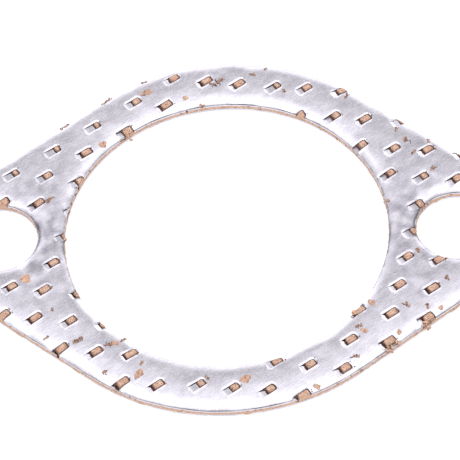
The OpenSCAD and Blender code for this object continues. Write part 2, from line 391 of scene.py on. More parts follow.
def rimDrop(s, v, d):
    # fall of the face round an opening: drawn down, steepest at the cut and slight at the hinge,
    # and with a burr that stands up instead on the side of the row below and round the hinge
    o = opening
    cut = np.where(s < 0, np.clip((abs(v) - 0.4) / 0.2, 0, 1), 1)
    near = np.clip(0.5 - v / rows["width"], 0, 1)
    deep = (o["hingeDrop"] + (o["rimDrop"] - o["hingeDrop"]) * cut) * (1 - near * cut)
    drawn = deep * np.clip(1 - d / o["rim"], 0, 1) ** o["rimPower"]
    upright = np.clip(1 - d / o["burrWidth"], 0, 1)
    fold = 2.4 * upright * (1 - upright)
    return drawn - o["burr"] * (near * cut * upright + (1 - cut) * fold)


def tangDrop(s, k, plan):
    # fall of a tang: bent down at the hinge, eased after it, and hooked down at its tip
    slope, run = opening["bend"]
    bent = slope * run * (1 - np.exp(-s / run))
    return opening["hingeDrop"] + bent + plan["tip"][k] * (s / plan["reach"][k]) ** 4


def dents(p):
    # handling marks, most of them beside the two bolt holes
    x, y = abs(p[:, 0]), p[:, 1]
    much = 1 + 6.5 * np.exp(-(((x - 24.5) / 3.2) ** 2) - (y / 9.0) ** 2)
    return facing["dent"] * much * (ripple(p, 31, 2.6) + 0.5 * ripple(p, 32, 1.2))


def bridgeShade(p):
    # share of painted shade round both bridges: a darker metal colour that stands in for the darker reflections there
    x, y = abs(p[:, 0]), p[:, 1]
    return np.exp(-(((x - 24.5) / 5.0) ** 2) - (y / 11.0) ** 2) * np.clip(0.6 + 0.75 * ripple(p, 33, 2.0), 0, 1.3)


def facingHeight(p, plan):
    # height of the sheet's face in plan: edges, rims, tangs and a slight waviness
    s, v, d, k = nearestOpening(p, plan)
    tang = onTang(s, v, k, plan)
    gap = np.where(tang, edgeGap(plan["hinge"][k]), edgeGap(p))
    z = blank["face"] - edgeDrop(gap, 0.16 * ripple(p, 6, 5.0)) - holeDrop(p)
    z += facing["wave"] * np.clip(ripple(p, 5, 9.0), -1, 1) + np.where(tang, 0, dents(p))
    z -= np.where(tang, tangDrop(np.maximum(s, 0), k, plan), rimDrop(s, v, np.maximum(d, 0)))
    return np.minimum(z, blank["top"]), tang


def sheetThickness(gap):
    return blank["sheet"] + facing["burr"] * np.exp(-np.maximum(gap, 0) / 0.12)


def facingPlan(plan):
    loops = cutLoops(0, 0.4) + slotLoops(plan)
    rings = np.concatenate([ringPoints(plan, g) for g in (0.045, 0.09, 0.14, 0.21, 0.32, 0.48, 0.68)])
    insets = (0.08, 0.2, 0.4, 0.65, 0.95, 1.3, 1.7, 2.1, 2.6)
    bands = np.concatenate([q for g in insets for q in cutLoops(g, 0.45 + 0.08 * g)])
    g = facing["grid"]
    x, y = np.meshgrid(np.arange(-39.5, 39.5, g), np.arange(-28, 28, g * 0.87))
    x = x + np.where(np.arange(len(x)) % 2 == 0, 0, g / 2)[:, None]
    net = np.stack([x, y], -1).reshape(-1, 2)
    tang = tangPoints(plan)
    rings = rings[(edgeGap(rings) > 0.05)]
    rings = rings[nearestOpening(rings, plan)[2] > 0.03]
    bands = bands[nearestOpening(bands, plan)[2] > 0.72]
    net = net[edgeGap(net) > 2.75]
    net = net[nearestOpening(net, plan)[2] > 0.75]
    points, triangles = triangulate(loops, np.concatenate([rings, bands, net, tang[edgeGap(tang) > 0.05]]))
    middle = points[triangles].mean(1)
    s, v, d, k = nearestOpening(middle, plan)
    keep = (edgeGap(middle) > 0) & ((d > 0) | onTang(s, v, k, plan, 0))
    return compact(points, triangles[keep])


def shearedWall(low, high):
    return [low * (1 - w) + high * w for w, _ in facing["shear"]]


sheetPoints, sheetTris = facingPlan(upper)
topZ, tang = facingHeight(sheetPoints, upper)
thick = np.where(tang, blank["sheet"], sheetThickness(edgeGap(sheetPoints)))
tinFacing = shell(
    "pierced_tinplate",
    np.column_stack([sheetPoints, topZ]),
    np.column_stack([sheetPoints, topZ - thick]),
    sheetTris,
    shearedWall,
    dict(
        sheared=(np.zeros(len(sheetPoints)), [dark for _, dark in facing["shear"]]),
        bridgeShade=(bridgeShade(sheetPoints), [0.0] * len(facing["shear"])),
    ),
)

# ---- the fibre core ----

core = dict(
    ragged=0.09,
    proud=0.5,  # mean share of that by which the fibre stands out of its cut edge
    wallLevels=5,
    edgeStep=0.28,
    grid=1.3,
    slack=0.05,  # between a tang and the pocket below it
    torn=0.95,  # depth of the torn gap past the tip
    crack=0.5,  # depth of the crack round the fill
    near=0.11,  # width of that crack on the side of the row below
    far=0.04,
    steep=0.06,
    round=0.28,  # of the corners of the fill
    paintedLight=-0.8,  # painted light: tone of the cut edges, below zero is paler than the face, for the light that the side walls don't get
)


def fillBox(plan, k):
    half = rows["width"] / 2
    return plan["fill"][k], rows["length"] - 0.05, core["near"] - half, half - core["far"]


def fillHeight(s, v, k, plan, face):
    # swollen fibre in an opening: a tilted cushion with steep sides and rounded shoulders
    start, end, low, high = fillBox(plan, k)
    r = core["round"]
    qs = abs(s - (start + end) / 2) - (end - start) / 2 + r
    qv = abs(v - (low + high) / 2) - (high - low) / 2 + r
    inside = r - np.hypot(np.maximum(qs, 0), np.maximum(qv, 0)) - np.minimum(np.maximum(qs, qv), 0)
    rise = np.clip(inside / core["steep"], 0, 1)
    edge = np.clip(1 - (inside - core["steep"]) / 0.16, 0, 1)
    lean = plan["tilt"][k, 0] * (s - (start + end) / 2) + plan["tilt"][k, 1] * v
    return rise, face + plan["crown"][k] + lean - 0.09 * edge**2, edge


def coreTopHeight(p, plan):
    # face of the fibre: just under the sheet, down in the pocket that a tang tears, up in the fill
    gap = edgeGap(p)
    s, v, d, k = nearestOpening(p, plan)
    face = blank["face"] - edgeDrop(gap, 0.16 * ripple(p, 6, 5.0)) - holeDrop(p)
    z = face - sheetThickness(gap) - facing["wave"] - 0.012
    run = np.clip(s, 0, plan["reach"][k])
    pocket = tangDrop(run, k, plan) + blank["sheet"] + core["slack"]
    past = np.clip((s - plan["reach"][k]) / 0.05, 0, 1)
    pocket = pocket * (1 - past) + core["torn"] * past
    start, end, low, high = fillBox(plan, k)
    crack = np.clip((s - start) / 0.05, 0, 1)
    pocket = pocket * (1 - crack) + core["crack"] * crack
    inside = (s > -0.25) & (s < rows["length"]) & (abs(v) < rows["width"] / 2)
    z = np.where(inside, np.minimum(z, face - pocket), z)
    rise, cushion, edge = fillHeight(s, v, k, plan, face)
    cushion = np.minimum(cushion + 0.022 * ripple(p, 9, 0.42), blank["top"])
    z = np.where(d < -0.01, z * (1 - rise) + cushion * rise, z)
    # painted shade: the fibre is marked darker the deeper it lies below the face in an opening, and on the shoulders
    # of each fill
    tone = np.clip((face - z - 0.2) / 0.8, 0, 1) * (d < 0)
    tone = np.maximum(tone, np.where(d < 0, rise * plan["shoulderShade"][k] * edge, 0))
    return np.maximum(z, blank["sheet"] + 0.1), tone


def coreLowHeight(p, plan):
    # the same below, against the flat lower sheet
    s, v, d, k = nearestOpening(p, plan)
    rise = fillHeight(s, v, k, plan, 0.06)[0]
    return np.where(d < -0.01, (blank["sheet"] + 0.01) * (1 - rise) + 0.06 * rise, blank["sheet"] + 0.01)


def fillPoints(plan):
    # loops that carry the steep sides of each fill, and points over it and over the pocket
    start, end, low, high = fillBox(plan, np.arange(len(plan["hinge"])))
    found = []
    for inset in (0, core["steep"], 0.13, 0.24):
        a, b = start[:, None] + inset, end - inset
        t = np.linspace(0, 1, 12)
        u = np.linspace(low + inset, high - inset, 8)[1:-1]
        for v in (low + inset, high - inset):
            found.append(inPlan(plan["hinge"], a + (b - a) * t, np.full(12, v)))
        found.append(inPlan(plan["hinge"], a, u))
        found.append(inPlan(plan["hinge"], np.full((len(start), 1), b), u))
    s, v = (a.ravel() for a in np.meshgrid(np.linspace(-0.3, rows["length"] - 0.3, 14), np.linspace(-0.34, 0.34, 4)))
    found.append(inPlan(plan["hinge"], s, v))
    for back in (0.0, 0.05):
        found.append(inPlan(plan["hinge"], plan["reach"][:, None] + back, np.linspace(-0.58, 0.58, 7)))
    p = np.concatenate([q.reshape(-1, 2) for q in found])
    return p[edgeGap(p) > 0.06]


def corePlan():
    g = core["grid"]
    x, y = np.meshgrid(np.arange(-39.5, 39.5, g), np.arange(-28, 28, g))
    net = np.stack([x, y], -1).reshape(-1, 2)
    net = net[edgeGap(net) > 0.9]
    net = net[nearestOpening(net, upper)[2] > 0.4]
    band = np.concatenate([q for g in (0.12, 0.35, 0.8, 1.4, 2.2) for q in cutLoops(g, 0.5)])
    band = band[nearestOpening(band, upper)[2] > 0.3]
    rings = np.concatenate([ringPoints(upper, -0.02), ringPoints(upper, 0.04), ringPoints(upper, 0.16)])
    rings = rings[edgeGap(rings) > 0.1]
    free = cullNear(np.concatenate([fillPoints(upper), rings, fillPoints(lower)]), 0.045)
    points, triangles = triangulate(cutLoops(0, core["edgeStep"]), np.concatenate([free, band, net]))
    return compact(points, triangles[edgeGap(points[triangles].mean(1)) > 0])


def raggedWall(low, high):
    # levels of the cut edge, each pushed in or out in plan by noise that changes along the edge
    # and from level to level
    levels = []
    for k in range(1, core["wallLevels"]):
        w = k / core["wallLevels"]
        p = low * (1 - w) + high * w
        rough = 0.6 * ripple(p * [1, 1, 2.0], 20, 0.8) + 0.5 * ripple(p * [1, 1, 1.6], 21, 0.3) + core["proud"]
        p[:, :2] += outwards(p[:, :2] * 0.9999) * (core["ragged"] * rough)[:, None]
        levels.append(insideBox(p))
    return levels


def insideBox(p):
    # keeps points inside the box of the CAD model
    far = np.array([blank["earX"] + blank["earRadius"], blank["bodyRadius"], blank["top"]])
    return np.clip(p, -far * [1, 1, 0], far)


corePoints, coreTris = corePlan()
coreTopZ, coreTone = coreTopHeight(corePoints, upper)
fibreCore = shell(
    "fibre_sheet",
    np.column_stack([corePoints, coreTopZ]),
    np.column_stack([corePoints, coreLowHeight(corePoints, lower)]),
    coreTris,
    raggedWall,
    # painted shade on the face of the fibre, painted light on its cut edges
    dict(tone=(coreTone, [core["paintedLight"]] * (core["wallLevels"] - 1))),
)

# ---- loose fibre: flakes and crumbs on the face, fuzz along the cut edges ----

loose = dict(
    # flakes of fibre on the tinplate: place in plan, length, width and turn
    flakes=(
        (-25.9, -7.0, 0.9, 0.8, 44), (2.6, -23.5, 0.95, 0.75, 60), (-10.9, -22.3, 0.95, 0.65, 57),
        (-10.8, 23.2, 0.95, 0.6, 29), (-14.1, -17.4, 0.7, 0.5, 6), (18.7, -12.2, 0.72, 0.55, 138),
        (-16.5, 14.7, 0.68, 0.62, 129), (17.7, -16.6, 0.62, 0.46, 154), (11.6, -24.8, 0.55, 0.45, 167),
        (27.5, -13.2, 0.5, 0.34, 68), (-5.6, 22.1, 0.55, 0.4, 20), (22.1, -16.9, 0.5, 0.36, 103),
    ),
    flakeGrowth=1.6,
    # clusters of dark crumbs: place, length, width, turn and how many
    crumbs=(
        (-18.9, -16.9, 1.1, 0.4, 25, 12), (-14.9, -17.7, 0.7, 0.3, 15, 6), (-23.2, 5.8, 0.8, 0.4, 47, 9),
        (-10.8, 23.2, 1.0, 0.5, 29, 7), (-15.2, -21.8, 0.5, 0.35, 47, 5), (23.6, 13.9, 0.6, 0.35, 86, 6),
        (-1.1, 24.8, 0.7, 0.5, 56, 9), (-2.0, 24.3, 0.9, 0.25, 160, 6), (23.2, -12.7, 0.45, 0.3, 107, 5),
        (27.1, 9.0, 0.5, 0.3, 66, 5), (28.4, -8.8, 0.45, 0.3, 118, 5), (24.8, -4.2, 0.45, 0.3, 105, 5),
        (16.6, -20.5, 0.5, 0.28, 175, 5), (3.3, 25.8, 0.5, 0.25, 177, 5), (25.8, -13.0, 0.42, 0.22, 101, 4),
        (15.9, 21.7, 0.6, 0.25, 76, 5), (-22.3, -12.0, 0.36, 0.22, 72, 3), (-2.3, -23.1, 0.5, 0.18, 131, 4),
        (7.6, 22.8, 0.45, 0.22, 132, 4), (5.1, 26.7, 0.3, 0.2, 60, 3), (-22.9, -16.3, 0.45, 0.15, 46, 3),
        (-16.2, 22.1, 1.1, 0.2, 46, 9), (-21.7, 18.0, 0.9, 0.16, 33, 7), (-11.2, 25.1, 0.5, 0.16, 20, 4),
        (26.7, 13.8, 0.44, 0.34, 101, 3), (17.0, -15.9, 0.6, 0.4, 30, 5), (-10.6, -20.6, 0.4, 0.25, 60, 4),
        (-13.0, -16.8, 0.6, 0.25, 30, 5), (22.4, 15.8, 0.5, 0.3, 80, 4), (24.6, 11.7, 0.6, 0.2, 60, 4),
    ),
    crumbGrowth=1.55,
    crumbShare=3.6,
    crumbSize=(0.05, 0.17),
    endCrumbs=4,  # at the far end of each opening, where the fibre broke
    endSize=(0.05, 0.13),
    # dark strands: place, turn, length and curl in degrees
    strands=(
        (-2.9, 24.2, 15, 1.3, 50), (-2.2, 24.4, -40, 0.8, -60), (-1.5, 24.4, 70, 0.9, 70),
        (-1.0, 25.1, 200, 0.7, 40), (-19.5, -17.1, 30, 1.0, -50), (-15.5, -17.9, 35, 1.0, 60),
        (-14.9, -17.6, -20, 0.8, -90), (-11.3, 23.0, 35, 0.8, 60), (24.3, 13.2, 80, 0.8, 60),
        (27.0, 8.8, 60, 0.8, -60), (23.0, -12.9, 110, 0.7, 60), (16.3, -20.6, 170, 0.6, 50),
    ),
    strandRadius=0.06,
    # tufts that stand out of the cut edges: place in plan, size and how many crumbs
    tufts=(
        (20.8, -19.24, 0.4, 14), (25.6, -15.7, 0.45, 16), (-13.0, 16.2, 0.35, 8), (-3.4, 21.1, 0.3, 7),
        (20.9, 4.3, 0.3, 6), (22.0, -18.3, 0.3, 6), (16.4, -13.5, 0.3, 7), (-21.0, -0.5, 0.2, 6),
    ),
    tuftCrumb=(0.1, 0.26),
    edgeCrumbs=340,
    edgeFibres=150,
    seed=77,
)


def lumps(name, centre, size, flat, turn, tone, seed):
    # crumbs: one knobbly ball in a few shapes, each flattened, turned about Z and put in its place
    ball = bpy.data.meshes.new("ball")
    b = bmesh.new()
    bmesh.ops.create_icosphere(b, subdivisions=1, radius=1.0)
    b.to_mesh(ball)
    b.free()
    unit = np.array([tuple(v.co) for v in ball.vertices])
    faces = np.array([tuple(f.vertices) for f in ball.polygons])
    bpy.data.meshes.remove(ball)
    n, m = len(centre), len(unit)
    shapes = np.stack([unit * (1 + 0.3 * ripple(unit, seed + k, 1.6))[:, None] for k in range(5)])
    p = shapes[np.arange(n) % 5] * size[:, None, :]
    p[..., 2] *= flat
    c, s = np.cos(turn)[:, None], np.sin(turn)[:, None]
    p = np.stack([p[..., 0] * c - p[..., 1] * s, p[..., 0] * s + p[..., 1] * c, p[..., 2]], -1) + centre[:, None]
    allFaces = (faces[None] + (np.arange(n) * m)[:, None, None]).reshape(-1, 3)
    return finished(name, insideBox(p.reshape(-1, 3)), allFaces.tolist(), {"tone": np.repeat(tone, m)}, 60)


def strandTubes(name, start, turn, length, curl, radius, rise, tone, seed):
    # loose fibres: five-sided tubes along curved paths that taper to both ends
    n, m, sides = len(start), 9, 5
    t = np.linspace(0, 1, m)
    heading = turn[:, None] + curl[:, None] * t + 0.5 * np.sin(9 * t + np.arange(n)[:, None] * 1.7)
    step = length[:, None] / (m - 1)
    path = np.zeros((n, m, 3))
    path[:, 1:, 0] = np.cumsum(step * np.cos(heading[:, 1:]), 1)
    path[:, 1:, 1] = np.cumsum(step * np.sin(heading[:, 1:]), 1)
    path[..., 2] = rise[:, None] * np.sin(math.pi * t * 0.8)
    path += start[:, None]
    r = radius[:, None] * (1 - 0.8 * abs(2 * t - 1) ** 3)
    a = 2 * math.pi * np.arange(sides) / sides
    side = np.stack([-np.sin(heading), np.cos(heading), 0 * heading], -1)
    ring = side[:, :, None] * np.cos(a)[:, None] + np.array([0, 0, 1.0]) * np.sin(a)[:, None]
    p = path[:, :, None] + ring * r[..., None, None]
    i, j, k = np.meshgrid(np.arange(n), np.arange(m - 1), np.arange(sides), indexing="ij")
    after = (k + 1) % sides
    at = lambda jj, kk: (i * m + jj) * sides + kk
    quads = np.stack([at(j, k), at(j, after), at(j + 1, after), at(j + 1, k)], -1).reshape(-1, 4)
    ends = np.arange(n)[:, None] * m * sides + np.arange(sides)
    caps = np.concatenate([ends[:, ::-1], ends + (m - 1) * sides])
    faces = quads[:, ::-1].tolist() + caps[:, ::-1].tolist()
    return finished(name, insideBox(p.reshape(-1, 3)), faces, {"tone": np.repeat(tone, m * sides)}, 80)


def faceAt(p):
    return facingHeight(p, upper)[0]


def layFlakes():
    # thin irregular cushions on the tinplate: rings of points that swell to the middle
    rng = np.random.default_rng(loose["seed"])
    f = np.array(loose["flakes"])
    n, spokes, rings = len(f), 20, 5
    a = 2 * math.pi * np.arange(spokes) / spokes
    share = np.array([1.0, 1.0, 0.86, 0.6, 0.3])
    lift = np.array([-0.02, 0.3, 0.8, 1.0, 1.0])
    turn = np.radians(f[:, 4])[:, None]
    wobble = 1 + sum(0.16 / h**0.5 * np.sin(h * a + rng.uniform(0, 6, (n, 1))) for h in (2, 3, 4, 7))
    x = loose["flakeGrowth"] * 0.5 * f[:, 2, None] * np.cos(a) * wobble
    y = loose["flakeGrowth"] * 0.5 * f[:, 3, None] * np.sin(a) * wobble
    plan = np.stack([x * np.cos(turn) - y * np.sin(turn), x * np.sin(turn) + y * np.cos(turn)], -1)
    p = f[:, None, None, :2] + share[None, :, None, None] * plan[:, None]
    p = np.concatenate([p.reshape(n, -1, 2), f[:, None, :2], f[:, None, :2]], 1)
    z = faceAt(p.reshape(-1, 2)).reshape(n, -1)
    thick = 0.075 + 0.03 * ripple(p.reshape(-1, 2), 51, 0.35).reshape(n, -1)
    raised = np.concatenate([np.repeat(lift, spokes), [1.0, -0.02]])
    p = np.concatenate([p, (z + thick * raised)[..., None]], -1)
    size = p.shape[1]
    ids = np.arange(rings * spokes).reshape(rings, spokes)
    low, high = ids[:-1], ids[1:]
    quads = np.stack([low, np.roll(low, -1, 1), np.roll(high, -1, 1), high], -1).reshape(-1, 4)
    crown = np.stack([ids[-1], np.roll(ids[-1], -1), np.full(spokes, size - 2)], -1)
    foot = np.stack([np.roll(ids[0], -1), ids[0], np.full(spokes, size - 1)], -1)
    shift = (np.arange(n) * size)[:, None, None]
    faces = (quads + shift).reshape(-1, 4).tolist() + (crown + shift).reshape(-1, 3).tolist()
    faces += (foot + shift).reshape(-1, 3).tolist()
    tone = np.repeat(rng.uniform(0.0, 0.12, n), size)
    return finished("fibre_flakes", insideBox(p.reshape(-1, 3)), faces, {"tone": tone}, 60)


def layCrumbs():
    # crumbs scattered in ellipses on the tinplate
    rng = np.random.default_rng(loose["seed"] + 1)
    c = np.array(loose["crumbs"])
    c = np.repeat(c, (loose["crumbShare"] * c[:, 5]).astype(int), 0)
    n = len(c)
    turn = np.radians(c[:, 4])
    u = rng.uniform(-0.5, 0.5, n) * c[:, 2] * loose["crumbGrowth"]
    w = rng.normal(0, 0.25, n) * c[:, 3] * loose["crumbGrowth"]
    p = c[:, :2] + np.stack([u * np.cos(turn) - w * np.sin(turn), u * np.sin(turn) + w * np.cos(turn)], -1)
    size = rng.uniform(*loose["crumbSize"], (n, 3)) * [1.3, 0.8, 0.6]
    tone = rng.uniform(0.1, 0.8, n)
    hinge = np.repeat(upper["hinge"], loose["endCrumbs"], 0)
    m = len(hinge)
    s, v = rows["length"] + rng.uniform(-0.35, 0.25, m), rng.uniform(-0.55, 0.55, m)
    ends = hinge + s[:, None] * along + v[:, None] * across
    keep = (edgeGap(ends) > 0.15) & (rng.uniform(0, 1, m) < 0.75)
    p = np.concatenate([p, ends[keep]])
    size = np.concatenate([size, rng.uniform(*loose["endSize"], (keep.sum(), 3))])
    tone = np.concatenate([tone, rng.uniform(0.3, 0.9, keep.sum())])
    turn = np.concatenate([turn, np.zeros(keep.sum())])
    n = len(p)
    z = faceAt(p) + 0.3 * size[:, 2]
    return lumps("brown_crumbs", np.column_stack([p, z]), size, 0.8, turn + rng.normal(0, 0.6, n), tone, 60)


def layStrands():
    rng = np.random.default_rng(loose["seed"] + 2)
    s = np.array(loose["strands"])
    n = len(s)
    z = faceAt(s[:, :2]) + 0.03
    radius = loose["strandRadius"] * rng.uniform(0.6, 1.1, n)
    turn, curl = np.radians(s[:, 2]), np.radians(s[:, 4])
    tone = rng.uniform(0.6, 1.0, n)
    return strandTubes("brown_strands", np.column_stack([s[:, :2], z]), turn, s[:, 3], curl, radius, 0 * z + 0.02, tone, 2)


def edgePlaces(rng, n):
    # places along all the cut edges, each with its direction outwards
    p = np.concatenate(cutLoops(0, 0.05))
    p = p[rng.integers(0, len(p), n)]
    return p, outwards(p * 0.9999)


def layEdgeCrumbs():
    rng = np.random.default_rng(loose["seed"] + 3)
    p, out = edgePlaces(rng, loose["edgeCrumbs"])
    n = len(p)
    high = faceAt(p - 0.02 * out) - blank["sheet"] - facing["burr"]
    z = blank["sheet"] + (high - blank["sheet"]) * rng.uniform(0.1, 1.0, n)
    size = rng.uniform(0.05, 0.17, (n, 3)) * [1.5, 0.8, 0.8]
    p = p + out * rng.uniform(-0.02, 0.08, (n, 1))
    t = np.array(loose["tufts"])
    t = np.repeat(t, t[:, 3].astype(int), 0)
    m = len(t)
    p = np.concatenate([p, t[:, :2] + t[:, 2, None] * rng.uniform(-1, 1, (m, 2))])
    out = np.concatenate([out, outwards(t[:, :2])])
    z = np.concatenate([z, rng.uniform(0.9, 1.55, m)])
    size = np.concatenate([size, rng.uniform(*loose["tuftCrumb"], (m, 3))])
    n += m
    turn = np.arctan2(out[:, 0], -out[:, 1])
    # a tone below zero is painted light, as pale as the cut edges; above zero the crumbs are darker
    tone = rng.uniform(-0.7, 0.35, n)
    return lumps("edge_crumbs", np.column_stack([p, z]), size, 0.9, turn, tone, 70)


def layEdgeFibres():
    rng = np.random.default_rng(loose["seed"] + 4)
    p, out = edgePlaces(rng, loose["edgeFibres"])
    n = len(p)
    high = faceAt(p - 0.02 * out) - blank["sheet"] - facing["burr"]
    z = blank["sheet"] + (high - blank["sheet"]) * rng.uniform(0.2, 1.0, n)
    turn = np.arctan2(out[:, 1], out[:, 0]) + rng.uniform(-1.4, 1.4, n)
    # a tone below zero is painted light, as pale as the cut edges; above zero the fibres are darker
    tone = rng.uniform(-0.7, 0.25, n)
    length, curl = rng.uniform(0.2, 0.5, n), rng.uniform(-1.6, 1.6, n)
    radius = rng.uniform(0.012, 0.028, n)
    start = np.column_stack([p - 0.05 * out, z])
    return strandTubes("edge_fibres", start, turn, length, curl, radius, rng.uniform(-0.1, 0.1, n), tone, 3)


loosePieces = [layFlakes(), layCrumbs(), layStrands(), layEdgeCrumbs(), layEdgeFibres()]


# ---- finishes ----


class Finish:
    # a material and short ways to add and join its nodes
    def __init__(self, name):
        self.material = bpy.data.materials.new(name)
        self.material.use_nodes = True
        self.tree = self.material.node_tree
        self.shader = self.tree.nodes["Principled BSDF"]
        self.place = self.add("ShaderNodeTexCoord").outputs["Object"]

    def add(self, kind, **settings):
        node = self.tree.nodes.new(kind)
        for key, value in settings.items():
            if hasattr(node, key):
                setattr(node, key, value)
            else:
                node.inputs[key.replace("_", " ")].default_value = value
        return node

    def join(self, a, b):
        self.tree.links.new(a, b)

    def scaled(self, scale, angle=0.0):
        # object coordinates turned about Z and stretched
        turn = self.add("ShaderNodeMapping", vector_type="POINT")
        turn.inputs["Rotation"].default_value = (0, 0, -angle)
        self.join(self.place, turn.inputs["Vector"])
        grow = self.add("ShaderNodeMapping", vector_type="POINT")
        grow.inputs["Scale"].default_value = scale
        self.join(turn.outputs["Vector"], grow.inputs["Vector"])
        return grow.outputs["Vector"]

    def noise(self, scale, angle=0.0, detail=4.0, rough=0.55, distort=0.0):
        node = self.add("ShaderNodeTexNoise", Detail=detail, Roughness=rough, Distortion=distort, Scale=1.0)
        self.join(self.scaled(scale, angle), node.inputs["Vector"])
        return node.outputs["Fac"]

    def ramp(self, value, stops):
        node = self.add("ShaderNodeValToRGB")
        band = node.color_ramp
        for k, (at, colour) in enumerate(stops):
            stop = band.elements[k] if k < 2 else band.elements.new(at)
            stop.position = at
            stop.color = (*colour, 1) if len(colour) == 3 else colour
        self.join(value, node.inputs["Fac"])
        return node.outputs["Color"]

    def grey(self, value, stops):
        return self.ramp(value, [(at, (v, v, v)) for at, v in stops])

    def blend(self, share, a, b, kind="MIX"):
        node = self.add("ShaderNodeMix", data_type="RGBA", blend_type=kind)
        for value, socket in ((share, 0), (a, 6), (b, 7)):
            if isinstance(value, (int, float)):
                node.inputs[socket].default_value = value
            elif isinstance(value, tuple):
                node.inputs[socket].default_value = (*value, 1)
            else:
                self.join(value, node.inputs[socket])
        return node.outputs[2]

    def math(self, kind, a, b):
        node = self.add("ShaderNodeMath", operation=kind)
        for k, value in enumerate((a, b)):
            if isinstance(value, (int, float)):
                node.inputs[k].default_value = value
            else:
                self.join(value, node.inputs[k])
        return node.outputs[0]

    def mark(self, title):
        # a value that the mesh carries at its vertices
        return self.add("ShaderNodeAttribute", attribute_type="GEOMETRY", attribute_name=title).outputs["Fac"]

    def bump(self, height, distance, strength=1.0, after=None):
        node = self.add("ShaderNodeBump", Distance=distance, Strength=strength)
        self.join(height, node.inputs["Height"])
        if after is not None:
            self.join(after, node.inputs["Normal"])
        return node.outputs["Normal"]


tin = dict(
    dark=(0.62, 0.594, 0.67),
    light=(0.86, 0.833, 0.925),
    # the dark of a sheared edge: partly bare steel, partly a painted shadow line
    shear=(0.10, 0.085, 0.09),
    bridgeShadeTint=(0.70, 0.69, 0.71),  # painted shade: what is left of the colour round both bridges
    grain=0.0000016,
)


def tinplateFinish():
    f = Finish("satin tinplate")
    k = 1000.0
    angle = rows["angle"]
    streak = f.noise((1.1 * k, 6.0 * k, k), angle, 3.0, 0.65)
    mottle = f.noise((0.42 * k, 0.6 * k, 0.5 * k), angle, 6.0, 0.68, 0.5)
    speck = f.noise((4.2 * k, 5.2 * k, 4.0 * k), angle, 2.0, 0.6)
    tone = f.math("ADD", f.math("MULTIPLY", mottle, 0.35), f.math("MULTIPLY", streak, 0.4))
    tone = f.math("ADD", tone, f.math("MULTIPLY", speck, 0.25))
    colour = f.ramp(tone, [(0.39, tin["dark"]), (0.61, tin["light"])])
    # painted shade: the metal made darker round both bridges, standing in for their darker reflections
    colour = f.blend(f.mark("bridgeShade"), colour, tin["bridgeShadeTint"], "MULTIPLY")
    patch = f.grey(f.noise((0.35 * k, 0.35 * k, 0.35 * k), 0.3, 3.0, 0.6), [(0.3, 0.25), (0.6, 1.0)])
    # sheared edges darkened: partly the bare steel's own colour, partly a painted shadow line
    colour = f.blend(f.math("MULTIPLY", f.mark("sheared"), patch), colour, tin["shear"])
    f.join(colour, f.shader.inputs["Base Color"])
    f.shader.inputs["Metallic"].default_value = 1.0
    rough = f.math("ADD", f.math("MULTIPLY", mottle, 0.6), f.math("MULTIPLY", speck, 0.4))
    f.join(f.grey(rough, [(0.35, 0.2), (0.65, 0.32)]), f.shader.inputs["Roughness"])
    fine = f.bump(streak, tin["grain"], 1.0)
    f.join(f.bump(speck, tin["grain"] * 1.5, 1.0, fine), f.shader.inputs["Normal"])
    return f.material


fibre = dict(
    dark=(0.32, 0.145, 0.10),
    mid=(0.67, 0.40, 0.29),
    light=(0.85, 0.60, 0.48),
    darkFleckAndShade=(0.075, 0.028, 0.022),  # painted shade in the torn pockets and on the shoulders of the fills, and the own colour of the dark flecks and crumbs
    paintedLight=(0.98, 0.66, 0.49),  # painted light at the cut edges
)


def fibreFinish():
    f = Finish("pressed fibre")
    k = 1000.0
    clump = f.noise((2.6 * k, 2.6 * k, 3.2 * k), 0.4, 4.0, 0.7, 0.6)
    strand = f.noise((2.0 * k, 9.0 * k, 9.0 * k), 0.9, 3.0, 0.6, 0.8)
    tone = f.math("ADD", f.math("MULTIPLY", clump, 0.6), f.math("MULTIPLY", strand, 0.4))
    colour = f.ramp(tone, [(0.35, fibre["dark"]), (0.46, fibre["mid"]), (0.60, fibre["light"])])
    fleck = f.noise((6.5 * k, 6.5 * k, 6.5 * k), 0.2, 2.0, 0.5)
    colour = f.blend(f.grey(fleck, [(0.55, 0.0), (0.66, 0.65)]), colour, fibre["darkFleckAndShade"])
    tone = f.mark("tone")
    # painted light: a tone below zero mixes in the pale colour on the cut edges and on some edge crumbs and fibres
    colour = f.blend(f.math("MULTIPLY", tone, -1.0), colour, fibre["paintedLight"])
    # where the tone is above zero: painted shade in the pockets and on the shoulders, and the real darkness of crumbs
    # and strands
    colour = f.blend(tone, colour, fibre["darkFleckAndShade"])
    f.join(colour, f.shader.inputs["Base Color"])
    f.shader.inputs["Roughness"].default_value = 0.92
    f.shader.inputs["Specular IOR Level"].default_value = 0.25
    low = f.bump(clump, 0.00008, 0.8)
    f.join(f.bump(strand, 0.00003, 0.8, low), f.shader.inputs["Normal"])
    return f.material


tinplate = tinplateFinish()
pressedFibre = fibreFinish()
tinFacing.data.materials.append(tinplate)
for piece in [fibreCore] + loosePieces:
    piece.data.materials.append(pressedFibre)
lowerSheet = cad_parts["lower_facing"]
lowerSheet.data.materials.clear()
lowerSheet.data.materials.append(tinplate)

for piece, slot in [(tinFacing, "tinplate"), (fibreCore, "fibre")] + [(p, "fibre") for p in loosePieces]:
    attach(piece, "root")
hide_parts("upper_facing")
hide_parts("fibre_core")

# ---- floor, light and camera ----

stage = dict(floorSize=1.2, floorDiffuse=0.45, floorGlow=0.68)


